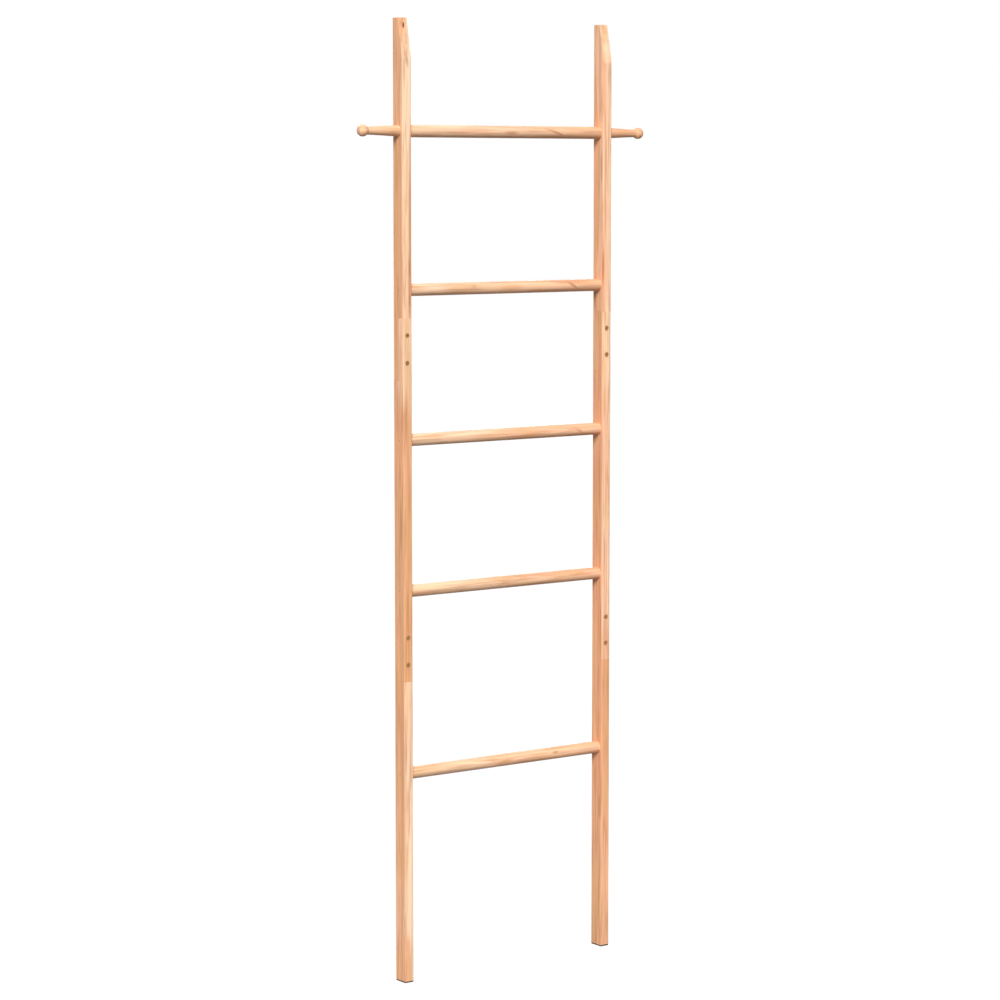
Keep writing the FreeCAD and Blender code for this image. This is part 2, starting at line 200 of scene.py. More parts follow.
class Recipe:
    """The node tree of a material or of the world, with one method that adds any node."""

    def __init__(self, holder: bpy.types.Material | bpy.types.World,
                 output: str = "ShaderNodeOutputMaterial") -> None:
        """Empty a tree down to its output node.

        Args:
            holder: the material or world that owns the tree.
            output: the type of its output node.
        """
        holder.use_nodes = True
        self.holder = holder
        self.tree = holder.node_tree
        self.tree.nodes.clear()
        self.output = self.tree.nodes.new(output)

    def add(self, kind: str, settings: dict | None = None, inputs: dict | None = None,
            output: str | int = 0) -> Field:
        """Add a node.

        Args:
            kind: the node's type.
            settings: its properties, set first.
            inputs: numbers, tuples or fields for its input sockets, by identifier.
            output: the output to return, by identifier or number.

        Returns:
            The chosen output.
        """
        node = self.tree.nodes.new(kind)
        for key, value in (settings or {}).items():
            setattr(node, key, value)
        sockets = {socket.identifier: socket for socket in node.inputs}
        for key, value in (inputs or {}).items():
            if isinstance(value, Field):
                self.tree.links.new(value.socket, sockets[key])
            else:
                sockets[key].default_value = value
        outputs = {socket.identifier: socket for socket in node.outputs}
        return Field(self, outputs[output] if isinstance(output, str) else node.outputs[output])

    @cached_property
    def place(self) -> Field:
        """The point on the object, in metres."""
        return self.add("ShaderNodeTexCoord", output="Object")

    def facing(self, axis: int) -> Field:
        """How far the surface faces along X, Y or Z, from 0 to 1."""
        normal = self.add("ShaderNodeNewGeometry", output="Normal")
        return self.add("ShaderNodeSeparateXYZ", inputs={"Vector": normal}, output=axis).size()

    def noise(self, per_metre: Triple, seed: float, detail: float = 2.0, roughness: float = 0.5,
              output: str = "Fac") -> Field:
        """Noise stretched by axis.

        Args:
            per_metre: how many features fit in a metre along X, Y and Z.
            seed: shifts the pattern, so that two pieces differ.
            detail: octaves.
            roughness: how strong the finer octaves are.
            output: "Fac" for one number or "Color" for three.

        Returns:
            Noise about 0.5.
        """
        shift = tuple(seed * step for step in SEED_STEP)
        moved = self.add("ShaderNodeMapping", {"vector_type": "POINT"},
                         {"Vector": self.place, "Location": shift, "Scale": per_metre})
        return self.add("ShaderNodeTexNoise", None,
                        {"Vector": moved, "Scale": 1.0, "Detail": detail, "Roughness": roughness}, output)

    def noise_along(self, distance: Field) -> Field:
        """Noise about 0.5 that changes with one number."""
        return self.add("ShaderNodeTexNoise", {"noise_dimensions": "1D"},
                        {"W": distance, "Scale": 1.0, "Detail": 1.0}, "Fac")

    def mix(self, share: Field | float, first: Field | tuple, second: Field | tuple) -> Field:
        """Blend two colours by the second one's share."""
        return self.add("ShaderNodeMix", {"data_type": "RGBA", "blend_type": "MIX"},
                        {"Factor_Float": share, "A_Color": first, "B_Color": second}, "Result_Color")

    def vector(self, operation: str, *values: Field | tuple, scale: Field | float | None = None,
               output: str = "Vector") -> Field:
        """Add a Vector Math node.

        Args:
            operation: the node's operation.
            values: fields or triples, in the node's order.
            scale: the number that a scaling multiplies by.
            output: "Vector", or "Value" for an operation that gives one number.

        Returns:
            The node's result.
        """
        inputs = dict(zip(("Vector", "Vector_001", "Vector_002"), values))
        if scale is not None:
            inputs["Scale"] = scale
        return self.add("ShaderNodeVectorMath", {"operation": operation}, inputs, output)

    def finish(self, shader: Field) -> bpy.types.Material | bpy.types.World:
        """Put a shader on the output and hand the material or the world over."""
        self.tree.links.new(shader.socket, self.output.inputs["Surface"])
        return self.holder

    def dress(self, looks: dict, height: Field, strength: float, relief: float) -> bpy.types.Material:
        """Finish a material with a principled shader and a bump.

        Args:
            looks: the shader's inputs, by identifier.
            height: what the bump follows.
            strength: how strongly it shows.
            relief: how high it is, in metres.

        Returns:
            The material.
        """
        bump = self.add("ShaderNodeBump", None, {"Strength": strength, "Distance": relief, "Height": height})
        return self.finish(self.add("ShaderNodeBsdfPrincipled", None, {**looks, "Normal": bump}))


@dataclass(frozen=True)
class Mark:
    """A knot, resin streak, flame of darker grain, broad change of tone or painted shade round a screw head:
    an ellipsoid in the wood.

    The centre is in millimetres. So are the radii, along the ellipsoid's own axes, which are turned by an
    angle about Y in degrees. The outline is soft over a share of the radii to either side of it.
    """

    centre: Triple
    radii: Triple
    tint: str
    strength: float = 1.0
    turn: float = 0.0
    soft: float = 0.4

    @property
    def broad(self) -> bool:
        """Whether it is a change of tone that the grain runs over, rather than a knot or streak."""
        return min(self.radii) >= BROAD_LEAST and max(self.radii) >= BROAD_MOST

    def reach(self, recipe: Recipe) -> Field:
        """How far a point lies from the centre.

        Args:
            recipe: the material's recipe.

        Returns:
            The distance in the mark's own radii, so 1 on its outline.
        """
        moved = recipe.add("ShaderNodeMapping", {"vector_type": "TEXTURE"},
                           {"Vector": recipe.place, "Location": tuple(part * MM for part in self.centre),
                            "Rotation": (0.0, math.radians(self.turn), 0.0),
                            "Scale": tuple(radius * MM for radius in self.radii)})
        return recipe.vector("LENGTH", moved, output="Value")


@dataclass(frozen=True)
class Layer:
    """One layer of noise in the wood: its features in a metre across the fibres and along them.

    The shift is added to a piece's seed, so that the layers differ.
    """

    across: float
    along: float
    shift: float
    octaves: float = 2.0
    roughness: float = 0.5


DRIFT = Layer(9.0, 2.4, 0.0, 1.0)
BROAD = Layer(62.0, 3.0, 3.0, 1.0)
NARROW = Layer(240.0, 10.0, 1.0)
FINE = Layer(1100.0, 26.0, 2.0, 3.0, 0.6)
PATCHY = Layer(48.0, 10.0, 4.0)


@dataclass(frozen=True)
class Timber:
    """Planed and oiled softwood: growth rings about a pith line, heartwood inside them, streaks and marks.

    Lengths are in millimetres, apart from the relief. The pith line passes through a point outside the piece
    and leans by some millimetres in each metre along the fibres, which makes the rings run out of the faces
    in long flames. A spread is where a smooth rise or fall begins and where it is complete, and a share is
    the most of a colour that is mixed in.
    """

    fibre: Fibre
    seed: float
    pith: Triple
    lean: Triple = (0.0, 0.0, 0.0)
    wander: float = 9.0
    heart_radius: float = 68.0
    heart_soft: float = 4.0
    heart_sway: float = 11.0
    heart_fray: float = 7.0
    warmth: float = 0.5
    blush_mix: Pair = (0.55, 0.45)
    blush_spread: Pair = (0.62, 0.78)
    blush_shift: float = 0.30
    cream: str = "F9D0AA"
    rose: str = "F4BE9B"
    gold: str = "E9AE82"
    clay: str = "E5A27C"
    late: str = "C48860"
    olive: str = "D9A66C"
    ring: float = 6.0
    ring_swing: float = 2.4
    swing_pace: float = 0.11
    late_rise: Pair = (0.30, 0.90)
    late_fall: Pair = (1.0, 0.94)
    good_years: Pair = (0.3, 0.6)
    year_pace: float = 0.23
    late_share: float = 0.32
    olive_spread: Pair = (0.50, 0.66)
    olive_share: float = 0.32
    streak_spread: Pair = (0.48, 0.68)
    streak_share: float = 0.38
    brightness: float = 1.04
    broad_tone: float = 0.36
    narrow_tone: float = 0.3
    fine_tone: float = 0.24
    end_tone: float = 0.18
    end_facing: Pair = (0.75, 0.95)
    bulge: float = 1.8
    bulge_spread: Pair = (2.4, 0.3)
    mark_fray: float = 0.8
    dullness: float = 0.56
    fine_dullness: float = 0.22
    late_gloss: float = 0.05
    end_dullness: float = 0.15
    specular: float = 0.25
    late_height: float = 0.4
    fine_height: float = 0.6
    bump: float = 0.35
    relief: float = 0.25 * MM
    marks: tuple[Mark, ...] = ()

    def noise(self, recipe: Recipe, layer: Layer, output: str = "Fac") -> Field:
        """One layer of the wood's noise.

        Args:
            recipe: the material's recipe.
            layer: the layer.
            output: "Fac" for one number or "Color" for three.

        Returns:
            Noise about 0.5, drawn out along the fibres.
        """
        per_metre = tuple(layer.across * share + layer.along * (1.0 - share) for share in self.fibre.value)
        seed = self.seed + layer.shift
        return recipe.noise(per_metre, seed, layer.octaves, layer.roughness, output)

    def depth(self, recipe: Recipe) -> Field:
        """How far a point lies from the pith line, which leans and wanders a little.

        Args:
            recipe: the material's recipe.

        Returns:
            The distance across the fibres, in millimetres.
        """
        wander = self.wander * MM
        start = tuple(part * MM + wander / 2.0 for part in self.pith)
        moved = recipe.vector("SUBTRACT", recipe.place, start)
        lengthwise = tuple(1.0 - share for share in self.fibre.value)
        along = recipe.vector("DOT_PRODUCT", moved, lengthwise, output="Value")
        straight = recipe.vector("MULTIPLY_ADD", along, tuple(-part * MM for part in self.lean), moved)
        drift = self.noise(recipe, DRIFT, "Color")
        bent = recipe.vector("MULTIPLY_ADD", drift, (wander,) * 3, straight)
        flat = recipe.vector("MULTIPLY", bent, self.fibre.value)
        return recipe.vector("LENGTH", flat, output="Value") / MM

    def late_wood(self, recipe: Recipe, depth: Field) -> Field:
        """The autumn lines: where the fraction of a year's growth is late, in years that are good or bad.

        Args:
            recipe: the material's recipe.
            depth: millimetres from the pith line.

        Returns:
            1 on a line, which rises slowly and ends sharply.
        """
        swing = recipe.noise_along(depth * self.swing_pace + self.seed) * (self.ring_swing * self.ring)
        year = ((depth + swing) / self.ring).fraction()
        good = recipe.noise_along(depth * self.year_pace - self.seed).ramp(*self.good_years)
        return year.ramp(*self.late_rise) * year.ramp(*self.late_fall) * good

    def build(self, name: str) -> bpy.types.Material:
        """Make the material.

        Args:
            name: the material's name.

        Returns:
            The material.
        """
        recipe = Recipe(bpy.data.materials.new(name))
        broad, narrow, fine, patchy = (self.noise(recipe, layer) for layer in (BROAD, NARROW, FINE, PATCHY))

        # Rings, which bulge out round every mark.
        depth = self.depth(recipe)
        reaches = [mark.reach(recipe) for mark in self.marks]
        for mark, reach in zip(self.marks, reaches):
            depth = depth + reach.ramp(*self.bulge_spread) * (self.bulge * mark.strength)
        late = self.late_wood(recipe, depth)

        # Ground: cream or rose sapwood, and gold or clay heartwood inside it.
        uneven = (broad - 0.5) * self.heart_sway + (narrow - 0.5) * self.heart_fray
        heart = (depth + uneven).ramp(self.heart_radius + self.heart_soft,
                                      self.heart_radius - self.heart_soft)
        limits = (limit - self.blush_shift * self.warmth for limit in self.blush_spread)
        blush = (broad * self.blush_mix[0] + narrow * self.blush_mix[1]).ramp(*limits)
        sapwood = recipe.mix(blush, colour(self.cream), colour(self.rose))
        heartwood = recipe.mix(blush, colour(self.gold), colour(self.clay))
        tint = recipe.mix(heart, sapwood, heartwood)

        # Figure: broad marks under the lines and streaks, then their shading, then the other marks on top.
        shares = []
        for mark, reach in zip(self.marks, reaches):
            outline = (reach + (narrow - 0.5) * self.mark_fray).ramp(1.0 + mark.soft, 1.0 - mark.soft)
            shares.append((mark, outline * mark.strength))
        for mark, share in shares:
            if mark.broad:
                tint = recipe.mix(share, tint, colour(mark.tint))
        tint = recipe.mix(late * self.late_share, tint, colour(self.late))
        tint = recipe.mix(patchy.ramp(*self.olive_spread) * self.olive_share, tint, colour(self.olive))
        tint = recipe.mix(narrow.ramp(*self.streak_spread) * self.streak_share, tint, colour(self.late))
        ends = recipe.facing(self.fibre.value.index(0.0)).ramp(*self.end_facing)
        shade = self.brightness + (broad - 0.5) * self.broad_tone
        shade = shade + (0.5 - narrow) * self.narrow_tone + (fine - 0.5) * self.fine_tone
        tint = recipe.vector("SCALE", tint, scale=shade * (1.0 - ends * self.end_tone))
        for mark, share in shares:
            if not mark.broad:
                tint = recipe.mix(share, tint, colour(mark.tint))

        dullness = self.dullness + (fine - 0.5) * self.fine_dullness - late * self.late_gloss
        looks = {"Base Color": tint, "Roughness": dullness + ends * self.end_dullness,
                 "Specular IOR Level": self.specular}
        height = late * self.late_height + fine * self.fine_height + ends * fine
        return recipe.dress(looks, height, self.bump, self.relief)


@dataclass(frozen=True)
class WornMetal:
    """Dull metal, darker where dirt has gathered: the screws and the nails."""

    bright: str
    dark: str
    grime: float
    dullness: float
    patches_per_metre: Triple = (900.0, 900.0, 900.0)
    scratches_per_metre: Triple = (4000.0, 900.0, 4000.0)
    dirt_spread: Pair = (0.40, 0.62)
    bare_metal: float = 0.9
    dirt_metal: float = 0.6
    dirt_dullness: float = 0.3
    scratch_dullness: float = 0.2
    bump: float = 0.3
    relief: float = 0.1 * MM

    def build(self, name: str) -> bpy.types.Material:
        """Make the material.

        Args:
            name: the material's name.

        Returns:
            The material.
        """
        recipe = Recipe(bpy.data.materials.new(name))
        patches = recipe.noise(self.patches_per_metre, 1.0, 3.0, 0.6)
        scratches = recipe.noise(self.scratches_per_metre, 2.0)
        dirt = patches.ramp(*self.dirt_spread) * self.grime
        dullness = self.dullness + dirt * self.dirt_dullness + (scratches - 0.5) * self.scratch_dullness
        looks = {"Base Color": recipe.mix(dirt, colour(self.bright), colour(self.dark)),
                 "Metallic": self.bare_metal - dirt * self.dirt_metal, "Roughness": dullness}
        return recipe.dress(looks, scratches, self.bump, self.relief)


@dataclass(frozen=True)
class PadRubber:
    """Dense brown rubber with a fine pebbled skin and dusty wear."""

    body: str = "3A2C24"
    dust: str = "6B5A4C"
    pebbles_per_metre: Triple = (1600.0, 1600.0, 1600.0)
    wear_per_metre: Triple = (120.0, 120.0, 300.0)
    dust_spread: Pair = (0.45, 0.7)
    dust_share: float = 0.6
    dullness: float = 0.72
    wear_dullness: float = 0.15
    bump: float = 0.4
    relief: float = 0.2 * MM

    def build(self, name: str) -> bpy.types.Material:
        """Make the material.

        Args:
            name: the material's name.

        Returns:
            The material.
        """
        recipe = Recipe(bpy.data.materials.new(name))
        pebbles = recipe.noise(self.pebbles_per_metre, 1.0)
        wear = recipe.noise(self.wear_per_metre, 2.0, 3.0)
        dusty = wear.ramp(*self.dust_spread) * self.dust_share
        looks = {"Base Color": recipe.mix(dusty, colour(self.body), colour(self.dust)),
                 "Roughness": self.dullness + wear * self.wear_dullness}
        return recipe.dress(looks, pebbles, self.bump, self.relief)


# ---- Surfaces ---------------------------------------------------------------------------------------------


def waves(along: np.ndarray, seed: int, longest: float, count: int = 5) -> np.ndarray:
    """A gentle uneven line: sines of falling length and height with random phases, between about -1 and 1.

    Args:
        along: distance along the piece, in metres.
        seed: chooses the phases.
        longest: the longest sine, in metres.
        count: how many sines are added.

    Returns:
        The line's height at each distance.
    """
    random = np.random.default_rng(seed)
    order = np.arange(1, count + 1)
    phase = random.uniform(0.0, TURN, count)
    steps = np.asarray(along)[..., None] * (TURN * order ** 1.4 / longest) + phase
    return (np.sin(steps) / order).sum(axis=-1) / (1.0 / order).sum()


def shell(points: np.ndarray) -> Skin:
    """A closed skin over rings of points.

    Neighbours on two rings make a quad, and each end closes on its centre.

    Args:
        points: rings by points by XYZ, each ring closed on itself.

    Returns:
        All points as rows, and the quads' corner numbers.
    """
    first, last = (np.repeat(ring.mean(axis=1, keepdims=True), points.shape[1], axis=1)
                   for ring in (points[:1], points[-1:]))
    rings = np.concatenate([first, points, last])
    rows, columns = rings.shape[:2]
    ring = np.arange(columns)
    start = np.arange(rows - 1)[:, None] * columns
    after = (ring + 1) % columns
    quads = np.stack([start + ring, start + after, start + columns + after, start + columns + ring], axis=-1)
    return rings.reshape(-1, 3), quads.reshape(-1, 4)


def turned(stations: np.ndarray, radii: np.ndarray, start: Triple, axis: Triple, segments: int) -> Skin:
    """The skin of a turned shape: at each station along the axis, a circle of that station's radius.

    Args:
        stations: distances along the axis, one for each ring, or one for each point.
        radii: radii, of either shape.
        start: the point that the distances start from.
        axis: the unit direction.
        segments: points on a ring.

    Returns:
        The closed skin.
    """
    along = np.asarray(axis, float)
    side = np.cross(along, (0.0, 1.0, 0.0) if abs(along[1]) < 0.9 else (0.0, 0.0, 1.0))
    side /= np.linalg.norm(side)
    other = np.cross(along, side)
    angle = np.linspace(0.0, TURN, segments, endpoint=False)
    circle = np.cos(angle)[:, None] * side + np.sin(angle)[:, None] * other
    stations, radii = (part[:, None] if part.ndim == 1 else part for part in (stations, radii))
    stations, radii = np.broadcast_arrays(stations, radii)
    return shell(np.asarray(start, float) + stations[..., None] * along + radii[..., None] * circle[None])


def stepped(start: float, steps: list[Pair]) -> np.ndarray:
    """The profile of a bore that changes its width in steps.

    Args:
        start: the station at which it begins.
        steps: for each step, the station at which it ends and its radius.

    Returns:
        Two rows, the stations and the radii, with two corners for each step.
    """
    profile = [(start, 0.0)]
    for end, radius in steps:
        profile += [(profile[-1][0], radius), (end, radius)]
    return np.array([*profile, (profile[-1][0], 0.0)]).T


def make_mesh(name: str, skins: list[Skin]) -> bpy.types.Mesh:
    """One mesh of several closed skins, with doubled points joined and every face outwards.

    Args:
        name: the mesh's name.
        skins: points and quads of each skin.

    Returns:
        The mesh.
    """
    counts = np.cumsum([0] + [len(points) for points, _ in skins])
    points = np.concatenate([points for points, _ in skins])
    quads = np.concatenate([quads + count for (_, quads), count in zip(skins, counts)])
    mesh = bpy.data.meshes.new(name)
    mesh.from_pydata(points.tolist(), [], quads.tolist())
    work = bmesh.new()
    work.from_mesh(mesh)
    bmesh.ops.remove_doubles(work, verts=work.verts, dist=JOIN)
    bmesh.ops.dissolve_degenerate(work, edges=work.edges, dist=JOIN)
    bmesh.ops.recalc_face_normals(work, faces=work.faces)
    work.to_mesh(mesh)
    work.free()
    return mesh


def bored(mesh: bpy.types.Mesh, cutters: bpy.types.Mesh) -> bpy.types.Mesh:
    """Cut closed skins out of a mesh.

    Args:
        mesh: the blank.
        cutters: everything that is taken away.

    Returns:
        A new mesh. The two given ones are removed.
    """
    blank, tool = (bpy.data.objects.new(part.name, part) for part in (mesh, cutters))
    for part in (blank, tool):
        bpy.context.scene.collection.objects.link(part)
    cut = blank.modifiers.new("bores", "BOOLEAN")
    cut.operation = "DIFFERENCE"
    cut.solver = "EXACT"
    cut.object = tool
    result = bpy.data.meshes.new_from_object(blank.evaluated_get(bpy.context.evaluated_depsgraph_get()))
    name = mesh.name
    for part in (blank, tool):
        bpy.data.objects.remove(part)
    for part in (mesh, cutters):
        bpy.data.meshes.remove(part)
    result.name = name
    return result


class Piece:
    """A piece of the ladder that stands for one CAD node, in the node's place."""

    node: str

    def middle(self, axis: int) -> float:
        """The middle of the node's box along X, Y or Z."""
        low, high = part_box(self.node)
        return (low[axis] + high[axis]) / 2.0

    def show(self, name: str, mesh: bpy.types.Mesh, material: bpy.types.Material, slot: str,
             weighted: bool = False) -> None:
        """Put the finished piece in the scene in place of its CAD node.

        Args:
            name: the piece's name.
            mesh: its mesh, in place.
            material: its material.
            slot: not used.
            weighted: let large faces keep their own direction at their edges.
        """
        mesh.materials.clear()
        mesh.materials.append(material)
        mesh.polygons.foreach_set("use_smooth", np.ones(len(mesh.polygons), bool))
        mesh.set_sharp_from_angle(angle=CREASE)
        piece = bpy.data.objects.new(name, mesh)
        bpy.context.scene.collection.objects.link(piece)
        if weighted:
            even = piece.modifiers.new("even faces", "WEIGHTED_NORMAL")
            even.keep_sharp = True
        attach(piece, BODY)
        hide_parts(self.node)
        LOG.info("%s: %d faces", name, len(mesh.polygons))


# ---- The ladder's pieces ----------------------------------------------------------------------------------


@dataclass(frozen=True)
class RailLength(Piece):
    """One length of a rail: an eased rectangular section carried up its length, with half-lap tongues.

    The front half of the section and the rear half each have their own lowest and highest point, and the
    half that has ended leaves the other as a tongue.
    """

    side: Side
    length: Length
    timber: Timber
    half_width: float = 10.0 * MM
    half_depth: float = 16.0 * MM
    edge: float = 1.5 * MM
    edge_sway: float = 0.22
    sway_length: float = 0.5
    broken: float = 0.35 * MM
    least_edge: float = 0.2 * MM
    head_cut: Pair = (75.0 * MM, 14.5 * MM)
    head_bend: float = 1.2 * MM
    head_edge: float = 0.5 * MM
    head_easing: float = 0.12
    socket_radius: float = 12.1 * MM
    socket_depth: float = 10.0 * MM
    tenon_hole: float = 6.1 * MM
    spare: float = 2.0 * MM
    spacing: float = 16.0 * MM
    bend_reach: float = 4.0 * MM
    bend_rings: int = 9
    corner_points: int = 7
    bore_points: int = 72

    @property
    def node(self) -> str:
        """The CAD node that this length stands for."""
        return f"rail_{self.side.word}_{self.length.value}"

    def span(self, length: Length) -> Pair:
        """Lowest and highest point of one of this rail's lengths."""
        low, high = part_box(f"rail_{self.side.word}_{length.value}")
        return low.z, high.z

    def halves(self) -> dict[str, Pair]:
        """Where the two halves of the section begin and end.

        Returns:
            Lowest and highest point of the front half and of the rear half.
        """
        lower, middle, upper = (self.span(length) for length in Length)
        if self.length is Length.LOWER:
            return {"front": (lower[0], middle[0]), "rear": lower}
        if self.length is Length.UPPER:
            return {"front": (middle[1], upper[1]), "rear": upper}
        return {"front": middle, "rear": (lower[1], upper[0])}

    def half_outline(self, heights: np.ndarray, reach: Pair, present: np.ndarray, front: bool,
                     seed: int) -> np.ndarray:
        """Half of the section at each height, from one side of the mid-depth plane round to the other.

        Two quarter circles of the edge's radius join three straight faces. Near the half's own ends the
        outline steps in by what is left of the broken edge, and the edges' radius shrinks by half of that.
        Where the half is absent it lies flat on the middle plane. The head cut is a slope that bends in
        softly: the logarithm of one plus an exponential.

        Args:
            heights: height of each ring.
            reach: where this half begins and ends.
            present: whether the half is there at each ring.
            front: the front half, which the head cut lowers, or the rear one.
            seed: chooses the unevenness of the eased edges.

        Returns:
            Rings by points by XY, with X from the rail's middle.
        """
        step_in = np.maximum(0.0, self.broken - np.minimum(heights - reach[0], reach[1] - heights))
        depth = np.full_like(heights, self.half_depth)
        radius = self.edge * (1.0 + self.edge_sway * waves(heights, seed, self.sway_length))
        if front and self.length is Length.UPPER:
            tall, deep = self.head_cut
            rise = self.head_bend * np.logaddexp(0.0, (heights - (reach[1] - tall)) / self.head_bend)
            depth = depth - rise * deep / tall
            radius = np.maximum(self.head_edge, radius - rise * self.head_easing)
        depth = np.where(present, depth - step_in, 0.0)
        wide = np.where(present, self.half_width - step_in, self.half_width)
        radius = np.where(present, np.maximum(radius - 0.5 * step_in, self.least_edge), 0.0)
        turn = np.linspace(0.0, TURN / 4.0, self.corner_points)
        corner = np.stack([np.cos(turn), np.sin(turn)], axis=-1)
        centre = np.stack([wide - radius, depth - radius], axis=-1)
        right = centre[:, None] + radius[:, None, None] * corner[None]
        left = right[:, ::-1] * (-1.0, 1.0)
        foot = np.stack([wide, np.zeros_like(wide)], axis=-1)[:, None]
        half = np.concatenate([foot, right, left, foot * (-1.0, 1.0)], axis=1)
        return half[:, ::-1] * (1.0, -1.0) if front else half

    def blank(self) -> Skin:
        """The length of timber before it is bored: its section at every height.

        Rings are evenly spaced between the ends of the halves. More stand at the broken edges and where the
        head cut bends in.

        Returns:
            The closed skin.
        """
        halves = self.halves()
        stops = sorted({*halves["front"], *halves["rear"]})
        heights, presence = [], {"front": [], "rear": []}
        for start, stop in zip(stops, stops[1:]):
            count = max(2, round((stop - start) / self.spacing) + 1)
            even = np.linspace(start, stop, count)
            close = [start + self.broken, stop - self.broken]
            if self.length is Length.UPPER and stop == stops[-1]:
                bend = stop - self.head_cut[0]
                close += list(bend + np.linspace(-self.bend_reach, self.bend_reach, self.bend_rings))
            rings = np.unique(np.concatenate([even, close]))
            heights.append(rings)
            for name, (first, last) in halves.items():
                presence[name].append(np.full(len(rings), first < (start + stop) / 2.0 < last))
        heights = np.concatenate(heights)
        seed = round(self.timber.seed * 10)
        front, rear = (
            self.half_outline(heights, reach, np.concatenate(presence[name]), name == "front", seed + number)
            for number, (name, reach) in enumerate(halves.items()))
        outline = np.concatenate([front, rear], axis=1)
        outline[..., 0] += self.middle(0)
        upright = np.broadcast_to(heights[:, None, None], (*outline.shape[:2], 1))
        return shell(np.concatenate([outline, upright], axis=-1))

    def rung_seat(self, rung: Rung) -> Skin:
        """The cutter for one rung: its socket, and the hole for the nail or the peg's tenon.

        Args:
            rung: the rung.

        Returns:
            The cutter's skin, which stands proud of both faces.
        """
        inner = self.side.value * (abs(self.middle(0)) - self.half_width)
        wall = 2.0 * self.half_width
        holes = [(wall + self.spare, self.tenon_hole)]
        if rung.fixing is Fixing.NAIL:
            nail = RungNails(self.side)
            holes = [(wall - nail.sink - nail.head_thickness, nail.shank_radius + nail.gap),
                     (wall + self.spare, nail.head_radius + nail.gap)]
        stations, radii = stepped(-self.spare, [(self.socket_depth, self.socket_radius), *holes])
        start, axis = (inner, 0.0, rung.height), (self.side.value, 0.0, 0.0)
        return turned(stations, radii, start, axis, self.bore_points)

    def build(self, rungs: list[Rung]) -> None:
        """Make the length of timber with its sockets and screw holes.

        Args:
            rungs: all the rungs, of which this length holds those within its span.
        """
        low, high = self.span(self.length)
        cutters = [self.rung_seat(rung) for rung in rungs if low < rung.height < high]
        timber = self.timber
        for splice in (Splice(self.side, length) for length in SPLICED):
            cutters += [splice.hole(height) for height in splice.heights() if low < height < high]
            # Painted shade round the splice screws' heads goes into the middle length's wood as marks.
            if self.length is Length.MIDDLE:
                timber = replace(timber, marks=timber.marks + splice.bruises())
        mesh = bored(make_mesh(f"{self.node}_timber", [self.blank()]), make_mesh("cutters", cutters))
        self.show(f"{self.side.word}_rail_{self.length.value}_length", mesh,
                  timber.build(f"{self.node}_wood"), "rail_wood", weighted=True)


@dataclass(frozen=True)
class Rung(Piece):
    """A round rung, sanded by hand, with its ends eased and bored for its fixing.

    The bore for a nail ends 10 mm short of the nail's point, which lies hidden in the wood.
    """

    place: str
    fixing: Fixing
    timber: Timber
    radius: float = 12.0 * MM
    end_ease: float = 0.8 * MM
    plain_from: float = 6.0 * MM
    plain_rings: int = 90
    bore_gap: float = 0.1 * MM
    nail_bore: float = 20.4 * MM
    tenon_bore: float = 15.0 * MM
    sanding: float = 0.12 * MM
    sway_length: float = 0.35
    sway_round: float = 0.02
    segments: int = 72

    @property
    def node(self) -> str:
        """The CAD node that this rung stands for."""
        return f"rung_{self.place}"

    @property
    def height(self) -> float:
        """The rung's axis above the floor."""
        return self.middle(2)

    def build(self) -> None:
        """Make the rung: circles along X, whose radius falls short by a slow wave along and round it."""
        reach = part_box(self.node)[1].x
        bore, depth = RungNails.shank_radius + self.bore_gap, self.nail_bore
        if self.fixing is Fixing.PEG:
            bore, depth = Peg.tenon_radius + self.bore_gap, self.tenon_bore
        end = np.array([(reach - depth, 0.0), (reach - depth, bore), (reach, bore),
                        (reach, self.radius - self.end_ease), (reach - self.end_ease, self.radius)])
        plain = np.linspace(reach - self.plain_from, -reach + self.plain_from, self.plain_rings)
        stations = np.concatenate([end[:, 0], plain, -end[::-1, 0]])[:, None]
        radii = np.concatenate([end[:, 1], np.full(len(plain), self.radius), end[::-1, 1]])[:, None]
        angle = np.linspace(0.0, TURN, self.segments, endpoint=False)
        seed = round(self.timber.seed * 10)
        uneven = waves(stations + self.sway_round * np.sin(angle + seed), seed, self.sway_length)
        body = radii > 0.9 * self.radius
        radii = radii - body * self.sanding * 0.5 * (1.0 + uneven)
        skin = turned(stations, radii, (0.0, 0.0, self.height), (1.0, 0.0, 0.0), self.segments)
        self.show(f"{self.place}_rung_turned", make_mesh(f"{self.node}_turned", [skin]),
                  self.timber.build(f"{self.node}_wood"), "rung_wood")


